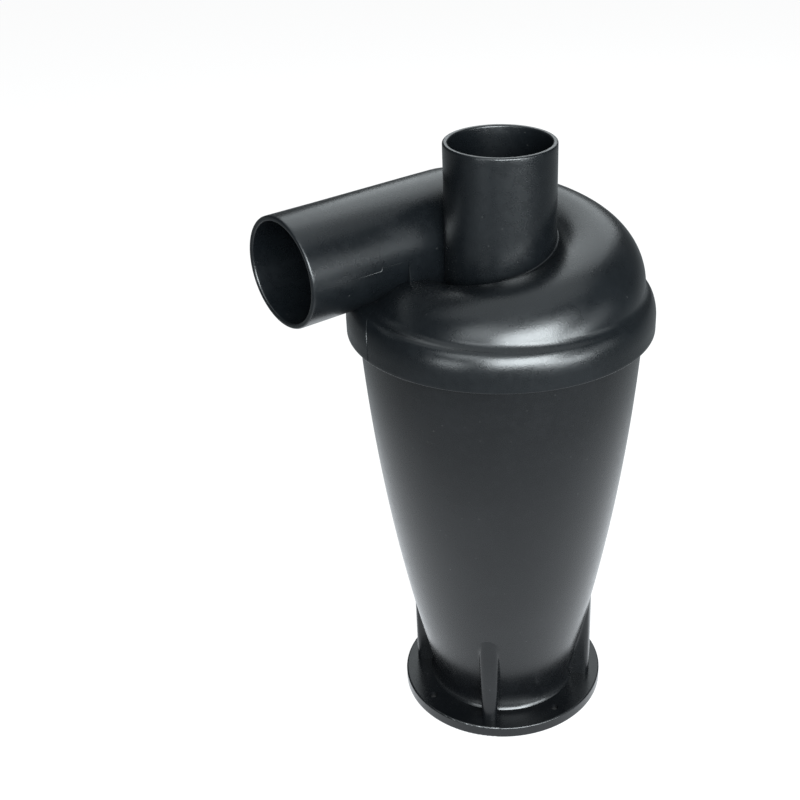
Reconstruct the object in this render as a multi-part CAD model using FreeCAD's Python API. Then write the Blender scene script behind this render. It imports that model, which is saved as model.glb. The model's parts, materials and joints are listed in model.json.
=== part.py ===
"""Small moulded cyclone separator: a volute head snapped onto a tapering cone with a bolted foot.

Millimetres, +Z up.  The origin is the centre of the foot's underside, on the cyclone's own axis.
The inlet spout leaves along -X, at +Y of the axis, and the volute winds clockwise seen from above.
"""
import FreeCAD
import Part
import math
import os

VEC = FreeCAD.Vector
UP = VEC(0, 0, 1)
CENTRE = VEC(0, 0, 0)

# ---- driving sizes: head -------------------------------------------------------------------
port_radius = 25.0            # outside radius of both hose spigots
hose_stop = 0.3               # the head's tubes stand this far outside the spigots, to stop a hose
head_wall = 2.4               # wall of the head and of both spigots
lip_round = 0.9               # rounding on the edges of the spigot mouths
outlet_top = 292.0            # outlet lip above the foot's underside
inlet_offset = 40.0           # inlet centre line to the cyclone axis
inlet_height = 243.4          # inlet centre line above the foot's underside
inlet_reach = 89.8            # inlet mouth to the cyclone axis, along X
spout_length = 23.8           # free length of the inlet spigot outside the head
helix_drop = 45.0             # fall of the volute roof in one turn
finder_length = 40.0          # vortex finder below the deck
rim_overhang = 5.3            # skirt outside the volute's widest radius
skirt_bottom = 206.6          # lower edge of the skirt
skirt_height = 6.0            # straight part of the skirt
deck_top = 224.0              # flat deck round the volute
deck_least_width = 0.4        # the deck starts where it stands this far out of the volute
seat_gap = 0.2                # seat of the cone below the underside of the inlet duct
apron_start = 40.0            # near apron under the duct, its end face to the axis along X
apron_start_far = 22.0        # the same on the far side of the duct

# ---- driving sizes: cone and foot ----------------------------------------------------------
cone_wall = 2.4
cone_mid_radius = 54.9        # outside of the cone half way up its taper
cone_foot_radius = 34.5       # outside of the cone where it stands on the flange
flange_width = 16.8           # flange outside the foot of the cone
flange_thickness = 6.0
flange_edge_round = 0.8
bolt_inset = 6.9              # bolt circle inside the flange's edge
bolt_hole_radius = 2.0
bolt_count = 4
bolt_azimuth = -5.0           # first bolt hole, degrees from +X
fillet_width = 3.5            # fillet ring round the foot of the cone
fillet_height = 8.5
rib_count = 4
rib_azimuth = 40.0            # first rib, degrees from +X
rib_stand = 11.5              # nose of a rib outside the foot of the cone
rib_half_width = 3.6          # at the flange
rib_spread = 1.0              # how much wider each side of a rib is where it runs out
catch_count = 4
catch_azimuth = 45.0
catch_angle = 12.0            # width of a snap catch round the rim
catch_height = 3.0
catch_setback = 1.4           # underside of a snap catch above the skirt's lower edge

# ---- sizes that follow ---------------------------------------------------------------------
bore_radius = port_radius - head_wall
tube_radius = port_radius + hose_stop             # the duct, the volute's crown, the outlet's root
barrel_radius = inlet_offset + tube_radius
barrel_inner = barrel_radius - head_wall
rim_radius = barrel_radius + rim_overhang
deck_under = deck_top - head_wall
seat_height = inlet_height - tube_radius - seat_gap
shoulder_bottom = skirt_bottom + skirt_height
spout_root = inlet_reach - spout_length
outlet_root_top = inlet_height + tube_radius      # level with the top of the duct
dust_radius = cone_foot_radius - cone_wall
flange_radius = cone_foot_radius + flange_width
bolt_circle_radius = flange_radius - bolt_inset
rib_reach = cone_foot_radius + rib_stand
bolt_spacing = 360.0 / bolt_count

roof_start = 90.0             # azimuth at which the duct becomes the volute
roof_ends = (30.0, -30.0, -90.0, -150.0, -240.0)
section_step = 15.0           # between the outlines that the roof is drawn through
well_bottom = inlet_height - 1.5 * helix_drop     # lower than the channel ever comes
beyond = 4.0 * rim_radius     # larger than the part, for cutting shapes


# ---- general shapes ------------------------------------------------------------------------
def turned(radius, height, azimuth):
    """A point at a radius and height, turned about Z by an azimuth in degrees."""
    angle = math.radians(azimuth)
    return VEC(radius * math.cos(angle), radius * math.sin(angle), height)


def rod(radius, low, high):
    """A solid cylinder on the cyclone axis."""
    return Part.makeCylinder(radius, high - low, VEC(0, 0, low))


def ring(inner, outer, low, high):
    """A plain ring about the cyclone axis."""
    return rod(outer, low, high).cut(rod(inner, low, high))


def block(low, high):
    """A box between two corners."""
    size = high - low
    return Part.makeBox(size.x, size.y, size.z, low)


def sector(first, last, low, high):
    """A pie-shaped block from azimuth last round to azimuth first, for trimming."""
    wedge = Part.makeCylinder(beyond, high - low, VEC(0, 0, low), UP, first - last)
    wedge.rotate(CENTRE, UP, last)
    return wedge


def revolved(edges):
    """A full body of revolution from the edges of a closed outline in the X-Z plane."""
    return Part.Face(Part.Wire(edges)).revolve(CENTRE, UP, 360)


def line(start, end):
    """A straight edge between two (radius, height) points of the X-Z plane."""
    return Part.makeLine(VEC(start[0], 0, start[1]), VEC(end[0], 0, end[1]))


def quarter_ellipse(centre, width, height):
    """The upper outer quarter of an ellipse in the X-Z plane, from its side up to its top."""
    mid = (centre[0] + width * math.sqrt(0.5), centre[1] + height * math.sqrt(0.5))
    side = VEC(centre[0] + width, 0, centre[1])
    top = VEC(centre[0], 0, centre[1] + height)
    across = VEC(centre[0], 0, centre[1])
    ellipse = Part.Ellipse(top, side, across)
    start = ellipse.parameter(side)
    end = ellipse.parameter(top)
    arc = ellipse.toShape(min(start, end), max(start, end))
    if arc.distToShape(Part.Vertex(VEC(mid[0], 0, mid[1])))[0] > 1e-6:
        arc = ellipse.toShape(max(start, end), min(start, end) + 2 * math.pi)
    return arc


def lip_edges(shape, height):
    """The edges of a shape that lie flat at one height."""
    return [e for e in shape.Edges
            if abs(e.BoundBox.ZMin - height) < 1e-4 and abs(e.BoundBox.ZMax - height) < 1e-4]


def carved(shape, tools):
    """What is left of a shape after cutting tools away from it one after another."""
    for tool in tools:
        shape = shape.cut(tool)
    return shape


def largest(shape):
    """The largest solid of a cut, without the slivers that a cut can leave."""
    return max(shape.Solids, key=lambda solid: solid.Volume)


# ---- spigots and duct ----------------------------------------------------------------------
def laid_on_inlet(shape):
    """A shape made up the Z axis, laid along the inlet line so that its height runs to -X."""
    placed = shape.copy()
    placed.rotate(CENTRE, VEC(0, 1, 0), -90)
    placed.translate(VEC(0, inlet_offset, inlet_height))
    return placed


def outlet_tube():
    """The upright tube: a root in the head and the free spigot above it."""
    root = ring(bore_radius, tube_radius, deck_under, outlet_root_top)
    spigot = ring(bore_radius, port_radius, outlet_root_top, outlet_top)
    spigot = spigot.makeFillet(lip_round, lip_edges(spigot, outlet_top))
    return root.fuse(spigot).removeSplitter()


def vortex_finder():
    tube = ring(bore_radius, tube_radius, deck_under - finder_length, deck_under)
    return tube.makeFillet(lip_round, lip_edges(tube, deck_under - finder_length))


def inlet_spout():
    tube = ring(bore_radius, port_radius, spout_root, inlet_reach)
    return laid_on_inlet(tube.makeFillet(lip_round, lip_edges(tube, inlet_reach)))


def duct_rod():
    """The whole space that the inlet duct takes, as a solid."""
    return laid_on_inlet(rod(tube_radius, 0, inlet_reach))


def outlet_rod():
    """The whole space that the outlet tube takes inside the head, as a solid."""
    return rod(tube_radius, 0, outlet_top)


def inlet_duct():
    """The inlet tube from the spout to the start of the volute, fitted round the outlet tube."""
    tube = laid_on_inlet(ring(bore_radius, tube_radius, 0, spout_root))
    return largest(tube.cut(outlet_rod()))


# ---- volute --------------------------------------------------------------------------------
def channel_height(azimuth):
    """Height of the centre of the round channel where the volute passes an azimuth."""
    return inlet_height - helix_drop * (roof_start - azimuth) / 360.0


def channel_wire(azimuth, radius):
    """Outline of the channel at one azimuth: a half-round crown on straight sides."""
    mid = channel_height(azimuth)
    near = inlet_offset - radius
    far = inlet_offset + radius
    corners = [turned(r, z, azimuth) for r, z in
               ((near, well_bottom), (far, well_bottom), (far, mid), (near, mid))]
    crown = turned(inlet_offset, mid + radius, azimuth)
    return Part.Wire([Part.makeLine(corners[0], corners[1]),
                      Part.makeLine(corners[1], corners[2]),
                      Part.Arc(corners[2], crown, corners[3]).toShape(),
                      Part.makeLine(corners[3], corners[0])])


def channel(first, last, radius):
    """The space under the volute roof from azimuth first down to last, and a step past both."""
    start = first + section_step
    count = int(round((start - last) / section_step)) + 2
    wires = [channel_wire(start - section_step * i, radius) for i in range(count)]
    return Part.makeLoft(wires, True, False)


def roof_spans():
    """First and last azimuth of each stretch of the volute roof."""
    return list(zip((roof_start,) + roof_ends[:-1], roof_ends))


def roof_stretch(first, last):
    """One stretch of the volute: its crown and side down to the deck, round the outlet tube."""
    shell = channel(first, last, tube_radius).cut(channel(first, last, bore_radius))
    shell = shell.common(sector(first, last, deck_under, outlet_top))
    shell = shell.cut(outlet_rod())
    if last < -roof_start:
        shell = shell.cut(duct_rod())
    return largest(shell)


def falling_channel():
    """The outsides of the last two stretches, where the crown sinks towards the deck."""
    return [channel(first, last, tube_radius) for first, last in roof_spans()[-2:]]


# ---- deck and rim --------------------------------------------------------------------------
def deck_front():
    """The flat deck outside the volute, from where it is wide enough to mould to the duct."""
    sunk = math.sqrt(tube_radius ** 2 - (tube_radius - deck_least_width) ** 2)
    fall = inlet_height - (deck_top - sunk)
    first = roof_start - 360.0 * fall / helix_drop
    plate = ring(tube_radius, barrel_radius, deck_under, deck_top)
    plate = plate.common(sector(first, roof_ends[-1], deck_under, deck_top))
    return largest(carved(plate, falling_channel() + [duct_rod()]))


def deck_back():
    """The corner of the deck on the far side of the duct."""
    plate = ring(tube_radius, barrel_radius, deck_under, deck_top)
    corner = block(VEC(-barrel_radius, inlet_offset, deck_under), VEC(0, barrel_radius, deck_top))
    return largest(plate.common(corner).cut(duct_rod()))


def shoulder_body(inset):
    """A solid cap with the rounded shoulder, inset by a wall from its outside."""
    top = deck_top - inset
    base = (barrel_radius, shoulder_bottom)
    side = (rim_radius - inset, shoulder_bottom)
    arc = quarter_ellipse(base, side[0] - base[0], top - shoulder_bottom)
    return revolved([line((0, shoulder_bottom), side), arc,
                     line((barrel_radius, top), (0, top)), line((0, top), (0, shoulder_bottom))])


def cap_shoulder():
    shell = shoulder_body(0).cut(shoulder_body(head_wall))
    shell = shell.cut(rod(barrel_radius, 0, outlet_top))
    return largest(shell.cut(duct_rod()))


def cap_skirt():
    band = ring(rim_radius - head_wall, rim_radius, skirt_bottom, shoulder_bottom)
    outer_edge = [e for e in lip_edges(band, skirt_bottom)
                  if abs(e.Curve.Radius - rim_radius) < 1e-6]
    return band.makeFillet(lip_round / 2, outer_edge)


def seat_ring():
    """The head's ring that stands on the cone's collar."""
    return largest(ring(barrel_inner, barrel_radius, seat_height, deck_under).cut(duct_rod()))


def aprons():
    """Upright walls that close the gap between the round duct and the head, near and far side."""
    near = inlet_offset - tube_radius
    far = inlet_offset + tube_radius
    middle = inlet_offset
    walls = []
    for low_y, high_y, start in ((near, middle, apron_start), (middle, far, apron_start_far)):
        shell = block(VEC(-start, low_y, shoulder_bottom), VEC(0, high_y, inlet_height))
        inner_low = low_y + (head_wall if low_y == near else 0)
        inner_high = high_y - (head_wall if high_y == far else 0)
        hollow = block(VEC(head_wall - start, inner_low, shoulder_bottom),
                       VEC(0, inner_high, inlet_height))
        walls.append(shell.cut(hollow))
    taken = [duct_rod(), outlet_rod(), shoulder_body(0)] + falling_channel()
    return [largest(carved(wall, taken)) for wall in walls]


def snap_catch(azimuth):
    """A catch inside the skirt that grips the cone's collar."""
    low = skirt_bottom + catch_setback
    band = ring(barrel_radius, rim_radius - head_wall, low, low + catch_height)
    half = catch_angle / 2
    return band.common(sector(azimuth + half, azimuth - half, low, low + catch_height))


# ---- cone and foot -------------------------------------------------------------------------
def cone_body(inset):
    """The tapering cone as a solid, inset by a wall, from the flange to the collar."""
    low, high = flange_thickness, skirt_bottom
    foot = (cone_foot_radius - inset, low)
    top = (barrel_radius - inset, high)
    mid = (cone_mid_radius - inset, (low + high) / 2)
    arc = Part.Arc(*[VEC(r, 0, z) for r, z in (foot, mid, top)]).toShape()
    return revolved([line((0, low), foot), arc, line(top, (0, high)), line((0, high), (0, low))])


def cone_shell(low, high):
    """The wall of the cone between two heights."""
    wall = cone_body(0).cut(cone_body(cone_wall))
    return wall.common(rod(beyond, low, high))


def fillet_ring():
    """The small fillet where the cone meets the flange."""
    low, high = flange_thickness, flange_thickness + fillet_height
    outer = cone_foot_radius + fillet_width
    inner = cone_foot_radius - cone_wall / 2
    top = cone_foot_radius + fillet_width * 0.6
    bow = VEC((outer + top) / 2 - fillet_width * 0.12, 0, (low + high) / 2)
    arc = Part.Arc(VEC(outer, 0, low), bow, VEC(top, 0, high)).toShape()
    body = revolved([line((inner, low), (outer, low)), arc, line((top, high), (inner, high)),
                     line((inner, high), (inner, low))])
    return largest(body.cut(cone_body(0)))


def rib_section(height, half_width):
    """Outline of a rib at one height: straight sides and a half-round nose, out along +X."""
    back = dust_radius
    nose = rib_reach - half_width
    corners = [VEC(back, -half_width, height), VEC(nose, -half_width, height),
               VEC(nose, half_width, height), VEC(back, half_width, height)]
    tip = VEC(rib_reach, 0, height)
    return Part.Wire([Part.makeLine(corners[0], corners[1]),
                      Part.Arc(corners[1], tip, corners[2]).toShape(),
                      Part.makeLine(corners[2], corners[3]),
                      Part.makeLine(corners[3], corners[0])])


def rib(azimuth):
    """An upright rib on the flange that runs out in the flank of the cone."""
    top = (flange_thickness + skirt_bottom) / 2
    wide = rib_half_width + rib_spread
    post = Part.makeLoft([rib_section(flange_thickness, rib_half_width),
                          rib_section(top, wide)], True, True)
    post.rotate(CENTRE, UP, azimuth)
    return largest(carved(post, [cone_body(0), fillet_ring()]))


def base_flange():
    plate = ring(dust_radius, flange_radius, 0, flange_thickness)
    rims = [e for e in plate.Edges if hasattr(e.Curve, "Radius")
            and abs(e.Curve.Radius - flange_radius) < 1e-6]
    plate = plate.makeFillet(flange_edge_round, rims)
    for index in range(bolt_count):
        spot = turned(bolt_circle_radius, 0, bolt_azimuth + bolt_spacing * index)
        plate = plate.cut(Part.makeCylinder(bolt_hole_radius, flange_thickness, spot))
    return plate


# ---- the whole part ------------------------------------------------------------------------
def subparts():
    """Every named piece of the separator, top to bottom."""
    pieces = {"outlet_tube": outlet_tube(), "vortex_finder": vortex_finder(),
              "inlet_spout": inlet_spout(), "inlet_duct": inlet_duct()}
    for index, (first, last) in enumerate(roof_spans()):
        pieces["volute_%d" % (index + 1)] = roof_stretch(first, last)
    pieces["deck_front"] = deck_front()
    pieces["deck_back"] = deck_back()
    pieces["apron_near"], pieces["apron_far"] = aprons()
    pieces["cap_shoulder"] = cap_shoulder()
    pieces["cap_skirt"] = cap_skirt()
    pieces["seat_ring"] = seat_ring()
    for index in range(catch_count):
        azimuth = catch_azimuth + 360.0 / catch_count * index
        pieces["snap_catch_%d" % (index + 1)] = snap_catch(azimuth)
    middle = (flange_thickness + skirt_bottom) / 2
    pieces["cone_collar"] = ring(barrel_radius - cone_wall, barrel_radius,
                                 skirt_bottom, seat_height)
    pieces["cone_upper"] = cone_shell(middle, skirt_bottom)
    pieces["cone_lower"] = cone_shell(flange_thickness, middle)
    pieces["foot_fillet"] = fillet_ring()
    for index in range(rib_count):
        pieces["rib_%d" % (index + 1)] = rib(rib_azimuth + 360.0 / rib_count * index)
    pieces["base_flange"] = base_flange()
    return pieces


os.makedirs("parts", exist_ok=True)
for name, shape in subparts().items():
    shape.exportStep("parts/%s.step" % name)
    print("%-15s solids %d  volume %8.0f  valid %s"
          % (name, len(shape.Solids), shape.Volume, shape.isValid()))
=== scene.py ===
"""Looks for a small moulded cyclone separator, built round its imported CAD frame.

Metres, +Z up.  The origin is the centre of the foot's underside, on the cyclone's own axis.  The
inlet spigot leaves along -X, at +Y of the axis, and the volute winds clockwise seen from above.
"""

import json
import logging
import math
from dataclasses import dataclass, field
from enum import Enum
from typing import Callable, Iterable, Optional, Sequence, Union

import bmesh
import bpy
from mathutils import Matrix, Vector


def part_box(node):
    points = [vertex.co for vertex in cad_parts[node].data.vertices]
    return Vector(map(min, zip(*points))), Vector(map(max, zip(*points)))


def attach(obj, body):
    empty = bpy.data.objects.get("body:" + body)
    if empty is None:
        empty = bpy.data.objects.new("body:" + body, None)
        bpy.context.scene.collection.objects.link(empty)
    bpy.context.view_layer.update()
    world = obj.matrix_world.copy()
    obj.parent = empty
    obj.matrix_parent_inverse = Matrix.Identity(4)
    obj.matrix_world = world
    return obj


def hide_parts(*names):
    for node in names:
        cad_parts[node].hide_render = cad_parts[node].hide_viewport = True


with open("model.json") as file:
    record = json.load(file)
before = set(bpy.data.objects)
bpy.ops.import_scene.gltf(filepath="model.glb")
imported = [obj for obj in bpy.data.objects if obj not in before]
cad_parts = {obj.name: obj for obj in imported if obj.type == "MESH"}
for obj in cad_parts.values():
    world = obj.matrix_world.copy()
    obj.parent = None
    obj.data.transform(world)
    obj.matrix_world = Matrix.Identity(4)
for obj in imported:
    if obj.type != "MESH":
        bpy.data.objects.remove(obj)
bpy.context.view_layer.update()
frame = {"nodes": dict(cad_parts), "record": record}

LOG = logging.getLogger("separator")
MM = 0.001
ORIGIN = Vector((0.0, 0.0, 0.0))
UP = Vector((0.0, 0.0, 1.0))
Point = tuple[float, float]
RING_RADIUS = 50.0              # the plain rings that are later reshaped, in millimetres

# What all the black plastic shares: the handling marks, the dust and the polish of plastic.
CLOUD_SIZE = 34.0               # the blots of the handling marks, in millimetres
SPECK_SPACING = 5.3             # from one speck of dust to the next, in millimetres
DUST_COLOUR = (0.12, 0.12, 0.115, 1.0)
PLASTIC_IOR = 1.5


# ---- shader building -----------------------------------------------------------------------
class Signal:
    """A socket of numbers that can stand in a Python expression."""

    def __init__(self, paint: "Paint", socket: bpy.types.NodeSocket) -> None:
        """Keep the socket and the node tree that it belongs to.

        Args:
            paint: The builder of the node tree.
            socket: An output socket that gives a number.
        """
        self.paint = paint
        self.socket = socket

    def _maths(self, operation: str, *values: "Number") -> "Signal":
        """Add one Math node.

        Args:
            operation: The Math node's operation.
            values: Its inputs in order.

        Returns:
            The node's result.
        """
        inputs = {index: value for index, value in enumerate(values)}
        return self.paint.node("ShaderNodeMath", {"operation": operation}, inputs)

    def __add__(self, other: "Number") -> "Signal":
        """This plus another number."""
        return self._maths("ADD", self, other)

    def __radd__(self, other: "Number") -> "Signal":
        """Another number plus this."""
        return self._maths("ADD", other, self)

    def __sub__(self, other: "Number") -> "Signal":
        """This less another number."""
        return self._maths("SUBTRACT", self, other)

    def __rsub__(self, other: "Number") -> "Signal":
        """Another number less this."""
        return self._maths("SUBTRACT", other, self)

    def __mul__(self, other: "Number") -> "Signal":
        """This times another number."""
        return self._maths("MULTIPLY", self, other)

    def __rmul__(self, other: "Number") -> "Signal":
        """Another number times this."""
        return self._maths("MULTIPLY", other, self)

    def between(self, low: float, high: float) -> "Signal":
        """Rise smoothly from 0 to 1 as this goes from low to high.

        Args:
            low: Where the result starts to rise.
            high: Where the result is 1.

        Returns:
            A mask from 0 to 1.
        """
        return self.paint.node(
            "ShaderNodeMapRange", {"interpolation_type": "SMOOTHSTEP"},
            {"Value": self, "From Min": low, "From Max": high})


Number = Union[Signal, float]


class Paint:
    """Builds one material's node tree."""

    def __init__(self, name: str) -> None:
        """Start an empty material with its output.

        Args:
            name: The material's name.
        """
        self.material = bpy.data.materials.new(name)
        self.material.use_nodes = True
        self.tree = self.material.node_tree
        self.tree.nodes.clear()
        self.output = self.tree.nodes.new("ShaderNodeOutputMaterial")

    def node(self, kind: str, settings: Optional[dict] = None, inputs: Optional[dict] = None,
             result: Union[int, str] = 0) -> Signal:
        """Add a node, set it up and connect it.

        Args:
            kind: The node's type.
            settings: Properties to set before the sockets.
            inputs: Values or links for its sockets, by name or by place.
            result: The output to return, by name or by place.

        Returns:
            The chosen output.
        """
        made = self.tree.nodes.new(kind)
        for key, value in (settings or {}).items():
            setattr(made, key, value)
        for key, value in (inputs or {}).items():
            socket = made.inputs[key]
            if isinstance(value, Signal):
                self.tree.links.new(value.socket, socket)
            else:
                socket.default_value = value
        return Signal(self, made.outputs[result])

    def place(self) -> Signal:
        """The point on the surface, in metres in the part's own frame."""
        return self.node("ShaderNodeTexCoord", result="Object")

    def noise(self, size: float, detail: float = 2.0, roughness: float = 0.5,
              stretch: Sequence[float] = (1.0, 1.0, 1.0)) -> Signal:
        """A cloudy pattern fixed to the surface.

        Args:
            size: The rough size of its blots, in millimetres.
            detail: How many finer layers it has.
            roughness: How strong the finer layers are.
            stretch: How much shorter the pattern is along each axis.

        Returns:
            A value near 0.5 that varies over the surface.
        """
        point = self.node("ShaderNodeMapping", {}, {"Vector": self.place(), "Scale": stretch})
        return self.node("ShaderNodeTexNoise", {},
                         {"Vector": point, "Scale": 1.0 / (size * MM), "Detail": detail,
                          "Roughness": roughness}, "Fac")

    def cells(self, size: float, randomness: float = 1.0) -> Signal:
        """The distance to the nearest of many scattered points.

        Args:
            size: The spacing of the points, in millimetres.
            randomness: How unevenly they lie.

        Returns:
            A value that is 0 at each point and rises away from it.
        """
        return self.node("ShaderNodeTexVoronoi", {},
                         {"Vector": self.place(), "Scale": 1.0 / (size * MM),
                          "Randomness": randomness}, "Distance")

    def blend(self, mask: Number, first: Union[Signal, Sequence[float]],
              second: Union[Signal, Sequence[float]]) -> Signal:
        """Go from one colour to another by a mask.

        Args:
            mask: 0 for the first colour, 1 for the second.
            first: A colour or a link that gives one.
            second: The other colour.

        Returns:
            The mixed colour.
        """
        return self.node("ShaderNodeMix", {"data_type": "RGBA"},
                         {"Factor": mask, 6: first, 7: second}, 2)

    def bump(self, height: Signal, depth: float, below: Optional[Signal] = None) -> Signal:
        """Turn a height pattern into a surface direction.

        Args:
            height: The pattern, from 0 to 1.
            depth: How high 1 stands above 0, in millimetres.
            below: The direction from a bump laid under this one.

        Returns:
            The direction for a Normal socket.
        """
        inputs: dict = {"Height": height, "Distance": depth * MM, "Strength": 1.0}
        if below is not None:
            inputs["Normal"] = below
        return self.node("ShaderNodeBump", {}, inputs)

    def close(self, shader: Signal) -> bpy.types.Material:
        """Connect the shader to the output and return the material."""
        self.tree.links.new(shader.socket, self.output.inputs["Surface"])
        return self.material


class Grain(Enum):
    """How the mould's steel was finished, which the plastic copies."""

    SPARKED = "sparked"
    STONED = "stoned"


@dataclass(frozen=True)
class MouldedPlastic:
    """Black injection-moulded plastic.

    Attributes:
        name: The material's name.
        slot: The record's material slot that it stands for.
        grain: The mould's finish.
        colour: The plastic's own colour.
        sheen_colour: The colour in the thin film of dust and handling marks.
        roughness: The middle roughness.
        roughness_drift: How far the roughness wanders over the surface.
        grain_size: The size of the grain, in millimetres.
        grain_depth: The depth of the grain, in millimetres.
        wave_size: The size of the slow waves left by shrinkage, in millimetres.
        wave_depth: The depth of those waves, in millimetres.
        dust: How pale the scattered specks of dust are, from 0 to 1.
        gloss: The specular level.
    """

    name: str
    slot: str
    grain: Grain
    colour: tuple[float, float, float]
    sheen_colour: tuple[float, float, float]
    roughness: float
    roughness_drift: float
    grain_size: float
    grain_depth: float
    wave_size: float
    wave_depth: float
    dust: float
    gloss: float

    def make(self) -> bpy.types.Material:
        """Build the node tree.

        Returns:
            The finished material.
        """
        paint = Paint(self.name)
        cloud = paint.noise(CLOUD_SIZE, 3.0, 0.55)
        fine = paint.noise(self.grain_size * 6.0, 2.0, 0.6)
        specks = paint.cells(SPECK_SPACING)
        dust = specks.between(0.10, 0.03) * cloud.between(0.42, 0.62) * self.dust
        film = cloud.between(0.35, 0.75) * 0.6 + fine.between(0.4, 0.8) * 0.25
        body = paint.blend(film, (*self.colour, 1.0), (*self.sheen_colour, 1.0))
        colour = paint.blend(dust, body, DUST_COLOUR)
        rough = self.roughness + (cloud - 0.5) * self.roughness_drift + (fine - 0.5) * 0.10
        direction = paint.bump(paint.noise(self.wave_size, 1.0, 0.4), self.wave_depth)
        direction = paint.bump(self._grain(paint), self.grain_depth, direction)
        shader = paint.node("ShaderNodeBsdfPrincipled", {}, {
            "Base Color": colour, "Roughness": rough, "Normal": direction,
            "IOR": PLASTIC_IOR, "Specular IOR Level": self.gloss}, "BSDF")
        return paint.close(shader)

    def _grain(self, paint: Paint) -> Signal:
        """The fine relief of the mould's steel.

        Args:
            paint: The material being built.

        Returns:
            A height pattern from about 0 to 1.
        """
        if self.grain is Grain.SPARKED:
            pits = paint.cells(self.grain_size)
            return pits * 0.8 + paint.noise(self.grain_size * 0.7, 2.0, 0.6) * 0.6
        drawn = paint.noise(self.grain_size * 1.4, 2.0, 0.5, (1.0, 1.0, 0.3))
        return drawn * 0.6 + paint.noise(self.grain_size, 2.0, 0.5) * 0.5


# ---- mesh building -------------------------------------------------------------------------
class Shape:
    """A mesh made by operators, and its way to a finished piece."""

    def __init__(self) -> None:
        """Start an empty mesh."""
        self.bm = bmesh.new()

    def outline(self, points: Iterable[Point], closed: bool = True) -> list:
        """Lay a chain of edges in the X-Z plane.

        Args:
            points: (radius, height) pairs in millimetres.
            closed: Whether the last point joins the first.

        Returns:
            The vertices and edges.
        """
        verts = [self.bm.verts.new((r * MM, 0.0, z * MM)) for r, z in points]
        pairs = list(zip(verts, verts[1:]))
        if closed:
            pairs.append((verts[-1], verts[0]))
        return verts + [self.bm.edges.new(pair) for pair in pairs]

    def spin(self, geometry: list, steps: int, turn: float = 2.0 * math.pi,
             rise: float = 0.0) -> None:
        """Turn a chain about Z, as a full ring or as a helix.

        Args:
            geometry: The vertices and edges to turn.
            steps: The number of steps.
            turn: The whole angle, in radians.
            rise: The whole rise, in millimetres.
        """
        full = abs(abs(turn) - 2.0 * math.pi) < 1e-9 and rise == 0.0
        bmesh.ops.spin(self.bm, geom=geometry, cent=ORIGIN, axis=UP, angle=turn, steps=steps,
                       dvec=UP * (rise * MM / steps), use_merge=full)

    def close_ends(self) -> None:
        """Fill the open ends of a run, each with one face."""
        ends = [edge for edge in self.bm.edges if edge.is_boundary]
        bmesh.ops.holes_fill(self.bm, edges=ends, sides=0)

    def move(self, matrix: Matrix) -> None:
        """Place the whole mesh."""
        bmesh.ops.transform(self.bm, matrix=matrix, verts=self.bm.verts)

    def reshape(self, rule: Callable[[Vector], Vector]) -> None:
        """Move each vertex to where a rule puts it."""
        for vert in self.bm.verts:
            vert.co = rule(vert.co)

    def finish(self, name: str, material: bpy.types.Material, slot: str,
               replaces: Sequence[str] = (), keen: float = 40.0,
               merge: bool = True) -> bpy.types.Object:
        """Close the mesh and hang it on the part.

        Args:
            name: The piece's name.
            material: Its finish.
            slot: The record's material slot; not used.
            replaces: The CAD nodes that it stands for.
            keen: Edges sharper than this many degrees stay crisp.
            merge: Whether points that coincide are joined.

        Returns:
            The finished object.
        """
        if merge:
            bmesh.ops.remove_doubles(self.bm, verts=self.bm.verts, dist=1e-6)
        bmesh.ops.recalc_face_normals(self.bm, faces=self.bm.faces)
        for face in self.bm.faces:
            face.smooth = True
        limit = math.radians(keen)
        for edge in self.bm.edges:
            edge.smooth = not (edge.is_manifold and edge.calc_face_angle(0.0) > limit)
        mesh = bpy.data.meshes.new(name)
        self.bm.to_mesh(mesh)
        self.bm.free()
        mesh.materials.append(material)
        piece = bpy.data.objects.new(name, mesh)
        bpy.context.scene.collection.objects.link(piece)
        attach(piece, "root")
        if replaces:
            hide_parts(*replaces)
        LOG.info("%s: %d faces", name, len(mesh.polygons))
        return piece


def arc(centre: Point, radius: float, first: float, last: float, steps: int,
        height: Optional[float] = None) -> list[Point]:
    """Points along a circular or elliptical arc.

    Args:
        centre: Its centre, in millimetres.
        radius: Its radius, or its half width where a height is given.
        first: The first angle, in degrees from +X.
        last: The last angle.
        steps: The number of steps between them.
        height: Its half height.

    Returns:
        The points, both ends included.
    """
    tall = radius if height is None else height
    angles = [math.radians(first + (last - first) * i / steps) for i in range(steps + 1)]
    return [(centre[0] + radius * math.cos(a), centre[1] + tall * math.sin(a)) for a in angles]


def straight(start: Point, end: Point, steps: int) -> list[Point]:
    """Points along a straight run, without its first point.

    Args:
        start: Where it starts, in millimetres.
        end: Where it ends.
        steps: The number of steps.

    Returns:
        The points after the start.
    """
    return [(start[0] + (end[0] - start[0]) * i / steps,
             start[1] + (end[1] - start[1]) * i / steps) for i in range(1, steps + 1)]


def length_of(path: Sequence[Point]) -> float:
    """The length of a path of straight runs."""
    return sum(math.dist(a, b) for a, b in zip(path, path[1:]))


def along(path: Sequence[Point], distance: float) -> Point:
    """Find a point along a path of straight runs.

    Args:
        path: The path's corners.
        distance: How far along it, in millimetres.

    Returns:
        The point, or the path's end where it is shorter.
    """
    for a, b in zip(path, path[1:]):
        step = math.dist(a, b)
        if distance <= step:
            part = distance / step if step else 0.0
            return a[0] + (b[0] - a[0]) * part, a[1] + (b[1] - a[1]) * part
        distance -= step
    return path[-1]


def spaced(path: Sequence[Point], first: float, last: float, steps: int) -> list[Point]:
    """Points at even distances along a path, without the first of them.

    Args:
        path: The path's corners.
        first: The distance along it to start from, in millimetres.
        last: The distance to end at.
        steps: The number of steps.

    Returns:
        The points after the start.
    """
    return [along(path, first + (last - first) * i / steps) for i in range(1, steps + 1)]


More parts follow.
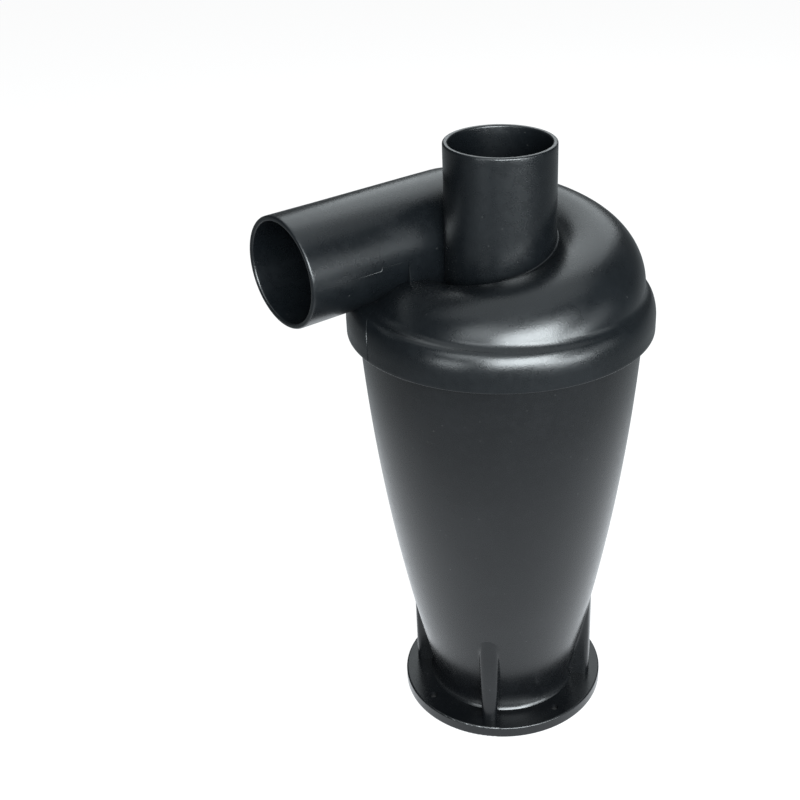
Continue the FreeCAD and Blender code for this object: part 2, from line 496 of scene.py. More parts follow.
def bent(knee: Sequence[Point], part: float) -> Point:
    """Find a point on the smooth bend that cuts a corner.

    Args:
        knee: Where the bend starts, the corner, and where it ends.
        part: 0 at the bend's start, 1 at its end.

    Returns:
        The point.
    """
    a, b, c = (1.0 - part) ** 2, 2.0 * part * (1.0 - part), part ** 2
    return (a * knee[0][0] + b * knee[1][0] + c * knee[2][0],
            a * knee[0][1] + b * knee[1][1] + c * knee[2][1])


# ---- the head ------------------------------------------------------------------------------
@dataclass(frozen=True)
class HeadSizes:
    """The head's sizes in millimetres, the same as the CAD model's.

    Attributes:
        port: The outside radius of both spigots.
        hose_stop: How far the tubes stand outside the spigots, to stop a hose.
        bore: The radius of both bores.
        offset: How far the inlet's axis, and the roof's channel, lie from the cyclone's axis.
        inlet_height: The height of the inlet's axis.
        inlet_reach: How far the inlet's mouth lies from the cyclone's axis.
        inlet_stop: How far from there the inlet's spigot ends at its tube.
        outlet_top: The height of the outlet's mouth.
        drop: How far the roof sinks in a full turn.
        ease: Over how many degrees it starts to sink.
        deck: The height of the flat deck round the roof.
        wall: The thickness of the moulded wall.
        rim: The outside radius of the skirt.
        shoulder: The height at which the rolled shoulder runs into the skirt.
        skirt: The height of the skirt's lower edge.
        lip: The rounding of the spigots' lips.
        bury: How deep a wall that joins a tube ends outside that tube's bore.
    """

    port: float = 25.0
    hose_stop: float = 0.3
    bore: float = 22.6
    offset: float = 40.0
    inlet_height: float = 243.4
    inlet_reach: float = 89.8
    inlet_stop: float = 66.0
    outlet_top: float = 292.0
    drop: float = 45.0
    ease: float = 10.0
    deck: float = 224.0
    wall: float = 2.4
    rim: float = 70.6
    shoulder: float = 212.6
    skirt: float = 206.6
    lip: float = 0.9
    bury: float = 1.2

    @property
    def tube(self) -> float:
        """The outside radius of the tubes and of the roof's crown."""
        return self.port + self.hose_stop

    @property
    def barrel(self) -> float:
        """How far the roof's side stands from the cyclone's axis."""
        return self.offset + self.tube

    def channel(self, turned: float) -> float:
        """The height of the channel's centre at one turn.

        Args:
            turned: Degrees turned from the start of the volute.

        Returns:
            The height, which sinks slowly at first and evenly after that.
        """
        sinking = turned - self.ease / 2.0
        if turned < self.ease:
            sinking = turned * turned / (2.0 * self.ease)
        return self.inlet_height - self.drop * sinking / 360.0


@dataclass
class OutletPipe:
    """The upright outlet tube and the finder below it, in one piece.

    Attributes:
        sizes: The head's sizes.
        finish: The plastic.
        steps: How many steps make its round.
        spread: Over how many millimetres the spigot widens to the tube.
    """

    sizes: HeadSizes
    finish: MouldedPlastic
    steps: int = 160
    spread: float = 36.0

    def outline(self) -> list[Point]:
        """Draw the tube's wall.

        Returns:
            Its closed outline, as (radius, height).
        """
        s = self.sizes
        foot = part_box("vortex_finder")[0].z / MM
        root = s.inlet_height + s.tube
        points = arc((s.port - s.lip, s.outlet_top - s.lip), s.lip, 90, 0, 6)
        points += straight(points[-1], (s.port, root), 12)
        points += straight(points[-1], (s.tube, root - self.spread), 20)
        points += straight(points[-1], (s.tube, foot + s.lip), 30)
        points += arc((s.tube - s.lip, foot + s.lip), s.lip, 0, -90, 5)[1:]
        points += arc((s.bore + s.lip, foot + s.lip), s.lip, -90, -180, 5)
        points += straight(points[-1], (s.bore, s.outlet_top - s.lip), 30)
        points += arc((s.bore + s.lip, s.outlet_top - s.lip), s.lip, 180, 90, 6)[1:]
        return points

    def build(self, material: bpy.types.Material) -> None:
        """Make the tube and hang it on the part.

        Args:
            material: The finish, built.
        """
        shape = Shape()
        shape.spin(shape.outline(self.outline()), self.steps)
        shape.finish("outlet_pipe", material, self.finish.slot,
                     ("outlet_tube", "vortex_finder"))


@dataclass
class InletPipe:
    """The level inlet tube, from its mouth to the start of the volute.

    Attributes:
        sizes: The head's sizes.
        finish: The plastic.
        steps: How many steps make its round.
        full: How far from the start of the volute the tube has its full width.
    """

    sizes: HeadSizes
    finish: MouldedPlastic
    steps: int = 160
    full: float = 12.0

    def outline(self) -> list[Point]:
        """Draw the tube's wall.

        Returns:
            Its closed outline, as (radius, distance from the start of the volute).
        """
        s = self.sizes
        mouth = s.inlet_reach - s.lip
        points = arc((s.port - s.lip, mouth), s.lip, 90, 0, 6)
        points += straight(points[-1], (s.port, s.inlet_stop), 20)
        points += straight(points[-1], (s.tube, self.full), 50)
        points += straight(points[-1], (s.tube, 0.0), 12)
        points += straight(points[-1], (s.bore, 0.0), 2)
        points += straight(points[-1], (s.bore, mouth), 76)
        points += arc((s.bore + s.lip, mouth), s.lip, 180, 90, 6)[1:]
        return points

    def clear_of_outlet(self, point: Vector) -> Vector:
        """Keep the wall out of the outlet's bore, ending inside the outlet's own wall.

        Args:
            point: A vertex of the laid tube.

        Returns:
            Where the vertex belongs.
        """
        least = (self.sizes.bore + self.sizes.bury) * MM
        if math.hypot(point.x, point.y) >= least:
            return point
        aside = math.sqrt(max(least * least - point.x * point.x, 0.0))
        return Vector((point.x, aside, point.z))

    def build(self, material: bpy.types.Material) -> None:
        """Make the tube, lay it along the inlet line and hang it on the part.

        Args:
            material: The finish, built.
        """
        s = self.sizes
        shape = Shape()
        shape.spin(shape.outline(self.outline()), self.steps)
        lay = Matrix.Translation((0.0, s.offset * MM, s.inlet_height * MM))
        shape.move(lay @ Matrix.Rotation(-math.pi / 2.0, 4, "Y"))
        shape.reshape(self.clear_of_outlet)
        shape.finish("inlet_pipe", material, self.finish.slot, ("inlet_spout", "inlet_duct"))


@dataclass
class VoluteHead:
    """The sinking roof, the flat deck round it, the rolled shoulder and the skirt, as one skin.

    The skin starts as a plain ring of numbered rows and columns, spun as a shallow helix so that
    each vertex still tells its row and column.  A rule then puts each vertex in its place.

    Attributes:
        sizes: The head's sizes.
        finish: The plastic.
        columns: How many steps make a full turn.
        helix: The plain ring's rise in a full turn, under the 1 mm from row to row.
        fillet: How far the fillet between roof and deck runs each way.
        fixed: Where on the shoulder the part of the section starts that never changes.
        tuck_outer: The least distance of the outer face from the inlet's axis, inside its wall.
        tuck_inner: The same for the inner face.
        rows: The section at each column, once it is built.
        outer_rows: How many of a section's points lie on the outside.
    """

    sizes: HeadSizes
    finish: MouldedPlastic
    columns: int = 360
    helix: float = 0.9
    fillet: float = 3.0
    fixed: float = 4.2
    tuck_outer: float = 24.4
    tuck_inner: float = 23.5
    rows: list[list[Point]] = field(default_factory=list)
    outer_rows: int = 0

    def rising_part(self, turned: float) -> list[Point]:
        """Draw the roof's crown and side at one turn.

        Args:
            turned: Degrees turned from the start of the volute.

        Returns:
            The points from inside the outlet tube's wall to the deck.
        """
        s = self.sizes
        middle = s.channel(turned)
        first = math.degrees(math.acos((s.bore + s.bury - s.offset) / s.tube))
        if middle > s.deck:
            return (arc((s.offset, middle), s.tube, first, 0.0, 60)
                    + straight((s.barrel, middle), (s.barrel, s.deck), 20))
        last = math.degrees(math.asin((s.deck - middle) / s.tube))
        return arc((s.offset, middle), s.tube, first, last, 80)

    def shoulder_part(self, start: float) -> list[Point]:
        """Draw the flat deck and the rolled shoulder.

        Args:
            start: The radius at which the roof meets the deck.

        Returns:
            The points from there to the top of the skirt.
        """
        s = self.sizes
        flat = straight((start, s.deck), (s.barrel, s.deck), 30) if start < s.barrel - 0.01 else []
        roll = arc((s.barrel, s.shoulder), s.rim - s.barrel, 90.0, 0.0, 60, s.deck - s.shoulder)
        return [(start, s.deck)] + flat + roll[1:]

    def skirt_part(self) -> list[Point]:
        """Draw the skirt's outside and its rounded lower edge.

        Returns:
            The points from the top of the skirt to its inner lower edge.
        """
        s = self.sizes
        edge = s.lip / 2.0
        points = straight((s.rim, s.shoulder), (s.rim, s.skirt + edge), 4)
        points += arc((s.rim - edge, s.skirt + edge), edge, 0.0, -90.0, 4)[1:]
        return points + straight(points[-1], (s.rim - s.wall, s.skirt), 2)

    def section(self, turned: float) -> list[Point]:
        """Draw the moulded wall at one turn.

        Args:
            turned: Degrees turned from the start of the volute.

        Returns:
            Its closed section, with the same number of points at every turn.
        """
        s = self.sizes
        rising = self.rising_part(turned)
        falling = self.shoulder_part(rising[-1][0])
        before = length_of(rising) - self.fillet
        roll = length_of(self.shoulder_part(s.barrel))
        fixed = length_of(falling) - roll + self.fixed
        outside = [rising[0]] + spaced(rising, 0.0, before, 50)
        knee = [outside[-1], rising[-1], along(falling, self.fillet)]
        outside += [bent(knee, i / 10) for i in range(1, 11)]
        outside += spaced(falling, self.fillet, fixed, 8)
        outside += spaced(falling, fixed, fixed + roll - self.fixed, 20)
        last = len(outside) - 1
        inside = [self.inner(outside, i) for i in [*range(0, last + 1, 3), last]]
        outside += self.skirt_part()
        self.outer_rows = len(outside)
        return outside + inside[::-1]

    def inner(self, outside: list[Point], index: int) -> Point:
        """Find the point on the wall's inner face behind one point of its outside.

        Args:
            outside: The outside from the outlet tube to the skirt.
            index: The place of the point in it.

        Returns:
            The point one wall's thickness behind.
        """
        before = outside[max(index - 1, 0)]
        after = outside[min(index + 1, len(outside) - 1)]
        across, up = after[0] - before[0], after[1] - before[1]
        size = math.hypot(across, up)
        here = outside[index]
        wall = self.sizes.wall
        return here[0] + up / size * wall, here[1] - across / size * wall

    def place(self, point: Vector) -> Vector:
        """Put one vertex of the plain ring where its row and column belong on the skin.

        Args:
            point: A vertex of the plain ring.

        Returns:
            Where the vertex belongs.
        """
        height = point.z / MM
        row = int(height + 1e-3)
        column = round((height - row) * self.columns / self.helix)
        radius, level = self.rows[column][row]
        angle = math.radians(90.0 - 360.0 * column / self.columns)
        here = Vector((radius * MM * math.cos(angle), radius * MM * math.sin(angle), level * MM))
        return self.under_duct(here, row >= self.outer_rows, column)

    def under_duct(self, point: Vector, inner: bool, column: int) -> Vector:
        """Keep the skin out of the inlet's bore, ending inside the inlet tube's own wall.

        Args:
            point: A vertex of the skin.
            inner: Whether it lies on the inner face.
            column: Its column.

        Returns:
            Where the vertex belongs.
        """
        s = self.sizes
        least = (self.tuck_inner if inner else self.tuck_outer) * MM
        aside = point.y - s.offset * MM
        below = point.z - s.inlet_height * MM
        reach = math.hypot(aside, below)
        if column < self.columns // 2 or point.x > 1e-6 or reach >= least or reach < 1e-6:
            return point
        grow = least / reach
        return Vector((point.x, s.offset * MM + aside * grow, s.inlet_height * MM + below * grow))

    def build(self, material: bpy.types.Material) -> None:
        """Make the skin and hang it on the part.

        Args:
            material: The finish, built.
        """
        turns = [360.0 * column / self.columns for column in range(self.columns + 1)]
        self.rows = [self.section(turned) for turned in turns]
        shape = Shape()
        ring = shape.outline([(RING_RADIUS, float(row)) for row in range(len(self.rows[0]))])
        shape.spin(ring, self.columns, rise=self.helix)
        shape.reshape(self.place)
        shape.close_ends()
        shape.finish("volute_head", material, self.finish.slot,
                     ("volute_1", "volute_2", "volute_3", "volute_4", "volute_5", "deck_front",
                      "deck_back", "cap_shoulder", "cap_skirt"), merge=False)


@dataclass
class RootBead:
    """The thin lip that climbs round the outlet tube along the top of the roof.

    Attributes:
        sizes: The head's sizes.
        finish: The plastic.
        size: Its radius.
        sink: How far its middle stands off the corner, outwards and upwards.
        turn: How many degrees it runs.
        steps: How many steps it runs in.
        pitch: The plain coil's rise in a step, which tells the steps apart.
    """

    sizes: HeadSizes
    finish: MouldedPlastic
    size: float = 0.55
    sink: float = 0.15
    turn: float = 330.0
    steps: int = 300
    pitch: float = 2.0

    def follow(self, point: Vector) -> Vector:
        """Lay the bead on the line where the roof meets the tube.

        Args:
            point: A vertex of the plain coil.

        Returns:
            Where the vertex belongs.
        """
        s = self.sizes
        column = round(point.z / MM / self.pitch)
        turned = self.turn * column / self.steps
        aside = math.hypot(point.x, point.y) / MM - RING_RADIUS
        up = point.z / MM - self.pitch * column
        level = s.channel(turned) + math.sqrt(s.tube ** 2 - (s.offset - s.tube) ** 2)
        angle = math.radians(90.0 - turned)
        radius = (s.tube + self.sink + aside) * MM
        return Vector((radius * math.cos(angle), radius * math.sin(angle),
                       (level + self.sink + up) * MM))

    def build(self, material: bpy.types.Material) -> None:
        """Make the bead and hang it on the part.

        Args:
            material: The finish, built.
        """
        shape = Shape()
        ring = shape.outline(arc((RING_RADIUS, 0.0), self.size, 0.0, 324.0, 9))
        shape.spin(ring, self.steps, math.radians(self.turn), self.steps * self.pitch)
        shape.reshape(self.follow)
        shape.close_ends()
        shape.finish("root_bead", material, self.finish.slot, merge=False)


# ---- the cone and its foot -----------------------------------------------------------------
@dataclass(frozen=True)
class ConeSizes:
    """The cone's sizes in millimetres, the same as the CAD model's.

    Attributes:
        wall: The thickness of the moulded wall.
        top: The outside radius under the head's skirt.
        middle: The outside radius half way up the taper.
        foot: The outside radius at the flange.
        collar_top: The height of the collar's upper edge.
        collar_foot: The height at which the collar runs into the taper.
        collar_edge: The bevel of the collar's upper edge.
        flange: The thickness of the foot flange.
        fillet: How far the fillet at the foot runs out over the flange.
        fillet_height: How far it runs up the taper.
        rib_count: The number of ribs.
        rib_azimuth: The direction of the first rib from the axis, in degrees.
        rib_stand: How far a rib's nose stands off the foot of the cone.
    """

    wall: float = 2.4
    top: float = 65.3
    middle: float = 54.9
    foot: float = 34.5
    collar_top: float = 217.9
    collar_foot: float = 206.6
    collar_edge: float = 0.3
    flange: float = 6.0
    fillet: float = 3.5
    fillet_height: float = 8.5
    rib_count: int = 4
    rib_azimuth: float = 40.0
    rib_stand: float = 11.5

    def taper(self) -> tuple[Point, float]:
        """Find the circle that the taper follows, through foot, middle and top.

        Returns:
            Its centre, as (radius, height), and its own radius.
        """
        chord = Vector((self.top - self.foot, self.collar_foot - self.flange))
        half = chord.length / 2.0
        chord.normalize()
        bow = self.middle - (self.foot + self.top) / 2.0
        behind = (half * half - bow * bow) / (2.0 * bow * chord.y)
        centre = ((self.foot + self.top) / 2.0 - chord.y * behind,
                  (self.flange + self.collar_foot) / 2.0 + chord.x * behind)
        return centre, math.hypot(half, behind)

    def radius(self, height: float) -> float:
        """The outside radius at a height."""
        centre, bend = self.taper()
        return centre[0] + math.sqrt(bend ** 2 - (height - centre[1]) ** 2)

    def height(self, radius: float) -> float:
        """The height at which the outside has a radius."""
        centre, bend = self.taper()
        return centre[1] - math.sqrt(bend ** 2 - (radius - centre[0]) ** 2)

    @property
    def rib_tip(self) -> float:
        """How far a rib's nose stands from the axis."""
        return self.foot + self.rib_stand


@dataclass
class ConeShell:
    """The tapering body with its collar and the fillet at its foot.

    Attributes:
        sizes: The cone's sizes.
        finish: The plastic.
        steps: How many steps make its round.
        levels: How many steps make its height.
    """

    sizes: ConeSizes
    finish: MouldedPlastic
    steps: int = 240
    levels: int = 90

    def outline(self) -> list[Point]:
        """Draw the wall.

        Returns:
            Its closed outline, as (radius, height).
        """
        s = self.sizes
        start = s.flange + s.fillet_height
        levels = [start + (s.collar_foot - start) * i / self.levels
                  for i in range(self.levels + 1)]
        outside = [(s.radius(z), z) for z in reversed(levels)]
        corner = (s.radius(s.flange + 3.0) + 0.6, s.flange + 2.4)
        knee = [outside[-1], corner, (s.foot + s.fillet, s.flange)]
        outside += [bent(knee, i / 10) for i in range(1, 11)]
        inside = [(s.radius(z) - s.wall, z) for z in [s.flange] + levels]
        top = [(s.top - s.wall, s.collar_top), (s.top - s.collar_edge, s.collar_top),
               (s.top, s.collar_top - s.collar_edge)]
        return top + outside + inside

    def build(self, material: bpy.types.Material) -> None:
        """Make the shell and hang it on the part.

        Args:
            material: The finish, built.
        """
        shape = Shape()
        shape.spin(shape.outline(self.outline()), self.steps)
        shape.finish("cone_shell", material, self.finish.slot,
                     ("cone_collar", "cone_upper", "cone_lower", "foot_fillet"))


@dataclass
class FootRib:
    """One upright rib between the flange and the flank of the cone, flared where it meets it.

    The rib starts as a plain stack of level rings, each corner at its own radius.  A rule then
    puts each vertex on the section of its level.

    Attributes:
        number: The rib's number, from 1.
        cone: The cone that it stands against.
        finish: The plastic.
        half: Half of its width at the flange.
        spread: How much wider each side is 60 mm up.
        depth: How deep its blunt nose is.
        flare: How wide the flare at its root is.
        root: How deep its back lies in the cone's wall.
        sink: How deep its foot lies in the flange.
        last: How much of its nose still shows where it ends.
        levels: How many steps make its height.
        step: The plain stack's rise in a level, in metres.
        sections: The section at each level, once it is built.
    """

    number: int
    cone: ConeSizes
    finish: MouldedPlastic
    half: float = 3.9
    spread: float = 1.3
    depth: float = 2.4
    flare: float = 1.3
    root: float = 1.4
    sink: float = 0.4
    last: float = 0.02
    levels: int = 60
    step: float = 0.01
    sections: list[list[Point]] = field(default_factory=list)

    def nose(self, half: float, turn: float) -> Point:
        """Find a point of the blunt nose.

        Args:
            half: Half of the rib's width here, in millimetres.
            turn: 0 at the tip, 90 degrees where the straight side starts.

        Returns:
            The point, as (distance out, distance aside).
        """
        angle = math.radians(turn)
        return (self.cone.rib_tip - self.depth * (1.0 - math.cos(angle) ** 0.8),
                half * math.sin(angle) ** 0.8)

    def half_section(self, height: float) -> list[Point]:
        """Draw one side of the rib at a height.

        Args:
            height: The height above the foot's underside, in millimetres.

        Returns:
            The points from inside the cone's wall to the nose, as (distance out, distance
            aside), with the same number of them at every height.
        """
        cone = self.cone
        radius = cone.radius(max(height, cone.flange))
        half = self.half + self.spread * (height - cone.flange) / 60.0
        side = straight((cone.foot - cone.wall, half), (cone.rib_tip - self.depth, half), 200)
        side += [self.nose(half, 90.0 - 0.5 * i) for i in range(1, 181)]
        run = [point for point in side if math.hypot(*point) > radius]
        bend, size = run[0], length_of(run)
        flare = self.flare * bend[1] / half
        aside = bend[1] + flare
        skin = math.sqrt(radius * radius - aside * aside)
        start = min(flare, size / 2.0)
        knee = [(skin, aside), bend, along(run, start)]
        points = [(skin - self.root, aside)] + [bent(knee, i / 8) for i in range(9)]
        return points + spaced(run, start, size, 14)

    def stand(self, point: Vector) -> Vector:
        """Put one vertex where its level and corner belong on the rib.

        Args:
            point: A vertex of the plain stack.

        Returns:
            Where the vertex belongs.
        """
        level = round(point.z / self.step)
        out, aside = self.sections[level][round(point.x / MM - RING_RADIUS)]
        upright = Vector((out * MM, aside * MM, self.height(level) * MM))
        azimuth = self.cone.rib_azimuth + 360.0 / self.cone.rib_count * (self.number - 1)
        return Matrix.Rotation(math.radians(azimuth), 3, "Z") @ upright

    def height(self, level: int) -> float:
        """The height of a level, in millimetres."""
        low, high = self.cone.flange - self.sink, self.cone.height(self.cone.rib_tip - self.last)
        return low + (high - low) * level / self.levels

    def build(self, material: bpy.types.Material) -> None:
        """Make the rib and hang it on the part.

        Args:
            material: The finish, built.
        """
        for level in range(self.levels + 1):
            side = self.half_section(self.height(level))
            self.sections.append(side + [(out, -aside) for out, aside in side[-2::-1]])
        shape = Shape()
        ring = shape.outline([(RING_RADIUS + i, 0.0) for i in range(len(self.sections[0]))])
        shape.spin(ring, self.levels, 0.0, self.levels * self.step / MM)
        shape.reshape(self.stand)
        shape.close_ends()
        shape.finish("foot_rib_%d" % self.number, material, self.finish.slot,
                     ("rib_%d" % self.number,), keen=60.0, merge=False)


# ---- parting lines -------------------------------------------------------------------------
@dataclass
class PartingLine:
    """The fine raised line that a joint in the mould leaves on the plastic.

    Attributes:
        name: The piece's name.
        points: Its course in millimetres, on the plastic's surface.
        radius: The radius of the raised line, in millimetres.
        finish: The plastic.
    """

    name: str
    points: Sequence[tuple[float, float, float]]
    radius: float
    finish: MouldedPlastic

    def build(self, material: bpy.types.Material) -> None:
        """Make the line as a thin round bead and hang it on the part.

        Args:
            material: The finish, built.
        """
        curve = bpy.data.curves.new(self.name, "CURVE")
        curve.dimensions = "3D"
        curve.bevel_depth = self.radius * MM
        curve.bevel_resolution = 2
        curve.use_fill_caps = True
        spline = curve.splines.new("POLY")
        spline.points.add(len(self.points) - 1)
        for knot, point in zip(spline.points, self.points):
            knot.co = (*(Vector(point) * MM), 1.0)
        guide = bpy.data.objects.new(self.name + "_guide", curve)
        bpy.context.scene.collection.objects.link(guide)
        bpy.context.view_layer.update()
        evaluated = guide.evaluated_get(bpy.context.evaluated_depsgraph_get())
        made = bpy.data.meshes.new_from_object(evaluated)
        bpy.data.objects.remove(guide)
        shape = Shape()
        shape.bm.from_mesh(made)
        bpy.data.meshes.remove(made)
        shape.finish(self.name, material, self.finish.slot)


def inlet_line(sizes: HeadSizes) -> list[tuple[float, float, float]]:
    """Lay the parting line along the near side of the inlet and down to the roof.

    Args:
        sizes: The head's sizes.

    Returns:
        Its course in millimetres.
    """
    course = [(-88.6, 242.4), (-72.0, 242.4), (-55.0, 242.4), (-54.4, 244.2), (-53.6, 243.6),
              (-47.0, 243.4), (-40.1, 243.3), (-40.05, 240.0), (-40.05, 231.6)]
    points = []
    for x, z in course:
        radius = sizes.port if x < -sizes.inlet_stop else sizes.tube - 0.05
        below = z - sizes.inlet_height
        on_apron = below < -1.5
        aside = sizes.tube if on_apron else math.sqrt(radius ** 2 - below ** 2)
        points.append((x, sizes.offset - aside, z))
    return points


def rim_line(sizes: HeadSizes) -> list[tuple[float, float, float]]:
    """Lay the parting line over the rim beside the inlet.

    Args:
        sizes: The head's sizes.

    Returns:
        Its course in millimetres, over the deck, the shoulder and the skirt.
    """
    course = [(-199.0 + i, 58.0 + 7.3 * i / 6, sizes.deck) for i in range(6)]
    for i in range(13):
        part = math.radians(90.0 * i / 12)
        course.append((-193.0 + 7.0 * math.sin(part),
                       sizes.barrel + (sizes.rim - sizes.barrel) * math.sin(part),
                       sizes.shoulder + (sizes.deck - sizes.shoulder) * math.cos(part)))
    course += [(-186.0, sizes.rim, sizes.shoulder - drop) for drop in (2.0, 3.5, 5.3)]
    return [(radius * math.cos(math.radians(azimuth)), radius * math.sin(math.radians(azimuth)), z)
            for azimuth, radius, z in course]


# ---- the room ------------------------------------------------------------------------------
COOL_WHITE = (0.90, 0.97, 1.0)
WHITE = (1.0, 1.0, 1.0, 1.0)


@dataclass(frozen=True)
class SoftBox:
    """A plain rectangular studio light.

    Attributes:
        name: The light's name.
        place: Where it stands, in metres.
        width: Its width in metres.
        height: Its height in metres.
        power: Its power in watts.
        target: What it points at.
        colour: Its colour.
    """

    name: str
    place: tuple[float, float, float]
    width: float
    height: float
    power: float
    target: tuple[float, float, float] = (0.0, 0.0, 0.22)
    colour: tuple[float, float, float] = COOL_WHITE

    def build(self) -> None:
        """Add the light."""
        data = bpy.data.lights.new(self.name, "AREA")
        data.shape = "RECTANGLE"
        data.size, data.size_y = self.width, self.height
        data.energy = self.power
        data.color = self.colour
        lamp = bpy.data.objects.new(self.name, data)
        lamp.location = self.place
        aim = Vector(self.target) - Vector(self.place)
        lamp.rotation_euler = aim.to_track_quat("-Z", "Y").to_euler()
        bpy.context.scene.collection.objects.link(lamp)


SOFT_BOXES = (
    SoftBox("key", (-0.48, -1.00, 0.66), 0.92, 0.58, 64.0),
    SoftBox("spill", (-0.42, -1.12, 0.80), 1.5, 1.1, 22.0),
    SoftBox("low", (0.06, -1.10, 0.29), 0.62, 0.24, 11.0),
    SoftBox("left", (-0.85, -0.30, 0.95), 0.5, 0.5, 6.5),
    SoftBox("fill", (-1.06, -0.27, 0.32), 0.34, 0.30, 4.2),
    SoftBox("right", (0.55, -0.92, 0.45), 0.42, 0.45, 1.4),
    SoftBox("overhead", (0.0, 0.0, 1.55), 1.6, 1.6, 15.0, (0.0, 0.0, 0.20)),
    SoftBox("behind", (0.71, 0.58, 0.95), 0.9, 0.9, 7.0, (0.0, 0.0, 0.20)))


@dataclass(frozen=True)
class Studio:
    """The pale floor, the soft light and the camera.

    Attributes:
        floor_radius: How far the floor runs, in metres.
        floor_gap: How far it lies below the foot, in metres.
        glow_near: The distance up to which the floor shines fully on the part, in metres.
        glow_far: The distance from which it shines least.
        room_glow: How strongly the room itself shines on the part.
        wall_glow: How bright the room's wall looks.
        lens: The camera's focal length, in millimetres.
        shift: How far the picture is moved aside, as a share of its width.
        eye: Where the camera stands, in metres.
        gaze: The direction that it looks in.
        roll: How far it is turned about that, in radians.
    """

    floor_radius: float = 9.0
    floor_gap: float = 0.0002
    glow_near: float = 0.10
    glow_far: float = 0.42
    room_glow: float = 0.14
    wall_glow: float = 0.97
    lens: float = 56.969
    shift: float = -0.125
    eye: tuple[float, float, float] = (-0.34736, -0.39781, 0.45483)
    gaze: tuple[float, float, float] = (0.5759146, 0.66134658, -0.48056537)
    roll: float = -0.0057332

    def floor(self) -> None:
        """Lay the pale floor, which shines less on the part toward the walls of the room."""
        paint = Paint("pale_floor")
        tone = paint.noise(900.0, 2.0, 0.4)
        colour = paint.blend(tone, (0.06, 0.06, 0.06, 1.0), (0.08, 0.08, 0.08, 1.0))
        away = paint.node("ShaderNodeVectorMath", {"operation": "LENGTH"},
                          {"Vector": paint.place()}, "Value")
        shine = paint.blend(away.between(self.glow_near, self.glow_far),
                            (1.30, 1.36, 1.42, 1.0), (0.20, 0.22, 0.23, 1.0))
        seen = paint.node("ShaderNodeLightPath", {}, {}, "Is Camera Ray")
        glow = paint.blend(seen, shine, (0.93, 0.93, 0.93, 1.0))
        shader = paint.node("ShaderNodeBsdfPrincipled", {}, {
            "Base Color": colour, "Roughness": 0.9, "Specular IOR Level": 0.1,
            "Emission Color": glow, "Emission Strength": 1.0}, "BSDF")
        bm = bmesh.new()
        bmesh.ops.create_circle(bm, cap_ends=True, segments=96, radius=self.floor_radius)
        mesh = bpy.data.meshes.new("floor")
        bm.to_mesh(mesh)
        bm.free()
        mesh.materials.append(paint.close(shader))
        floor = bpy.data.objects.new("floor", mesh)
        floor.location.z = -self.floor_gap
        bpy.context.scene.collection.objects.link(floor)

    def light(self) -> None:
        """Hang the lights and set the room's own glow, which looks paler than it shines."""
        world = bpy.data.worlds.new("room")
        world.use_nodes = True
        nodes, links = world.node_tree.nodes, world.node_tree.links
        shade = nodes["Background"]
        shade.inputs["Color"].default_value = (*COOL_WHITE, 1.0)
        shade.inputs["Strength"].default_value = self.room_glow
        wall = nodes.new("ShaderNodeBackground")
        wall.inputs["Color"].default_value = WHITE
        wall.inputs["Strength"].default_value = self.wall_glow
        seen = nodes.new("ShaderNodeLightPath")
        mix = nodes.new("ShaderNodeMixShader")
        links.new(seen.outputs["Is Camera Ray"], mix.inputs["Fac"])
        links.new(shade.outputs["Background"], mix.inputs[1])
        links.new(wall.outputs["Background"], mix.inputs[2])
        links.new(mix.outputs["Shader"], nodes["World Output"].inputs["Surface"])
        bpy.context.scene.world = world
        for lamp in SOFT_BOXES:
            lamp.build()

    def camera(self) -> None:
        """Set up the camera."""
        data = bpy.data.cameras.new("camera")
        data.sensor_width = 36.0
        data.lens = self.lens
        data.shift_x = self.shift
        data.clip_start, data.clip_end = 0.01, 50.0
        camera = bpy.data.objects.new("camera", data)
        forward = Vector(self.gaze).normalized()
        right = forward.cross(UP).normalized()
        up = right.cross(forward)
        level = right * math.cos(self.roll) + up * math.sin(self.roll)
        upright = up * math.cos(self.roll) - right * math.sin(self.roll)
        turn = Matrix((level, upright, -forward)).transposed()
        camera.matrix_world = Matrix.Translation(self.eye) @ turn.to_4x4()
        bpy.context.scene.collection.objects.link(camera)
        bpy.context.scene.camera = camera
        bpy.context.scene.view_settings.view_transform = "Standard"


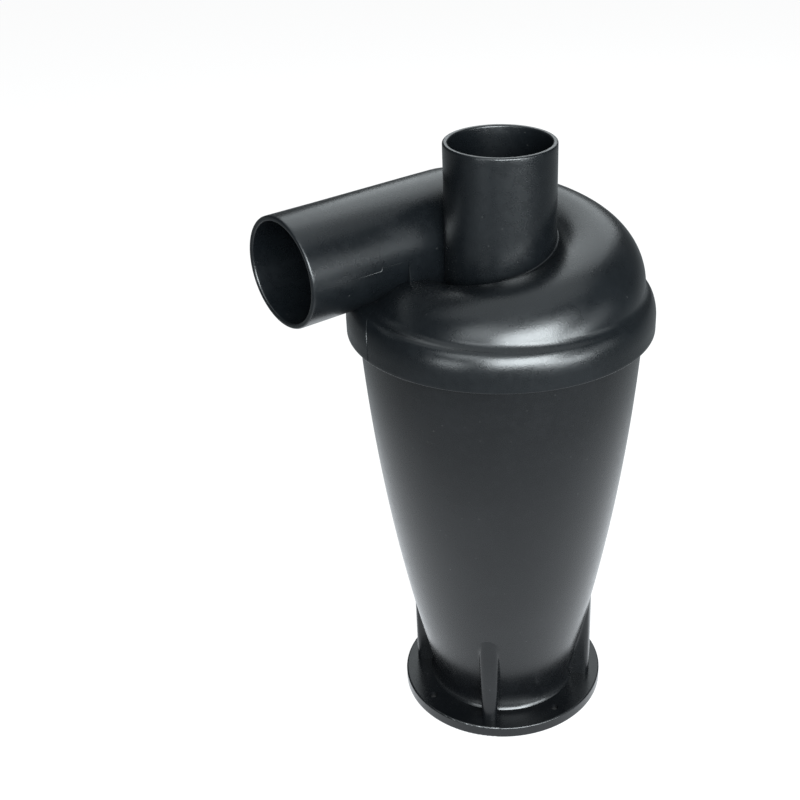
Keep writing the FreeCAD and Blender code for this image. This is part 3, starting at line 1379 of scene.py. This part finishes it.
# ---- the whole part ------------------------------------------------------------------------
HEAD_PLASTIC = MouldedPlastic(
    name="head_black", slot="head_plastic", grain=Grain.SPARKED,
    colour=(0.0012, 0.0016, 0.0020), sheen_colour=(0.0021, 0.0027, 0.0033),
    roughness=0.28, roughness_drift=0.10, grain_size=0.62, grain_depth=0.032,
    wave_size=26.0, wave_depth=0.10, dust=0.10, gloss=0.27)
CONE_PLASTIC = MouldedPlastic(
    name="cone_black", slot="body_plastic", grain=Grain.STONED,
    colour=(0.0013, 0.0015, 0.0018), sheen_colour=(0.0023, 0.0026, 0.0030),
    roughness=0.27, roughness_drift=0.08, grain_size=0.6, grain_depth=0.004,
    wave_size=40.0, wave_depth=0.12, dust=0.08, gloss=0.27)


def dress_frame(nodes: dict, finishes: Sequence[tuple[MouldedPlastic, bpy.types.Material]]) -> None:
    """Give each CAD node that still shows the finish of its material slot.

    Args:
        nodes: The CAD nodes by name.
        finishes: Each finish with its built material.
    """
    slots = {part["node"]: part["material_slot"] for part in frame["record"]["subparts"]}
    by_slot = {finish.slot: material for finish, material in finishes}
    for name, node in nodes.items():
        material = by_slot[slots[name]]
        for place in node.material_slots:
            place.material = material
        if not node.material_slots:
            node.data.materials.append(material)
        LOG.info("%s: dressed in %s", name, material.name)


def main() -> None:
    """Build the room and every sub-assembly in order."""
    logging.basicConfig(level=logging.INFO, format="%(name)s: %(message)s")
    studio = Studio()
    studio.camera()
    studio.light()
    studio.floor()
    head = HEAD_PLASTIC.make()
    cone = CONE_PLASTIC.make()
    dress_frame(frame["nodes"], ((HEAD_PLASTIC, head), (CONE_PLASTIC, cone)))
    sizes = HeadSizes()
    for piece in (
            OutletPipe(sizes, HEAD_PLASTIC),
            InletPipe(sizes, HEAD_PLASTIC),
            VoluteHead(sizes, HEAD_PLASTIC),
            RootBead(sizes, HEAD_PLASTIC),
            PartingLine("inlet_parting_line", inlet_line(sizes), 0.17, HEAD_PLASTIC),
            PartingLine("rim_parting_line", rim_line(sizes), 0.20, HEAD_PLASTIC)):
        piece.build(head)
    cone_sizes = ConeSizes()
    ConeShell(cone_sizes, CONE_PLASTIC).build(cone)
    for number in range(1, cone_sizes.rib_count + 1):
        FootRib(number, cone_sizes, CONE_PLASTIC).build(cone)


if __name__ == "__main__":
    main()
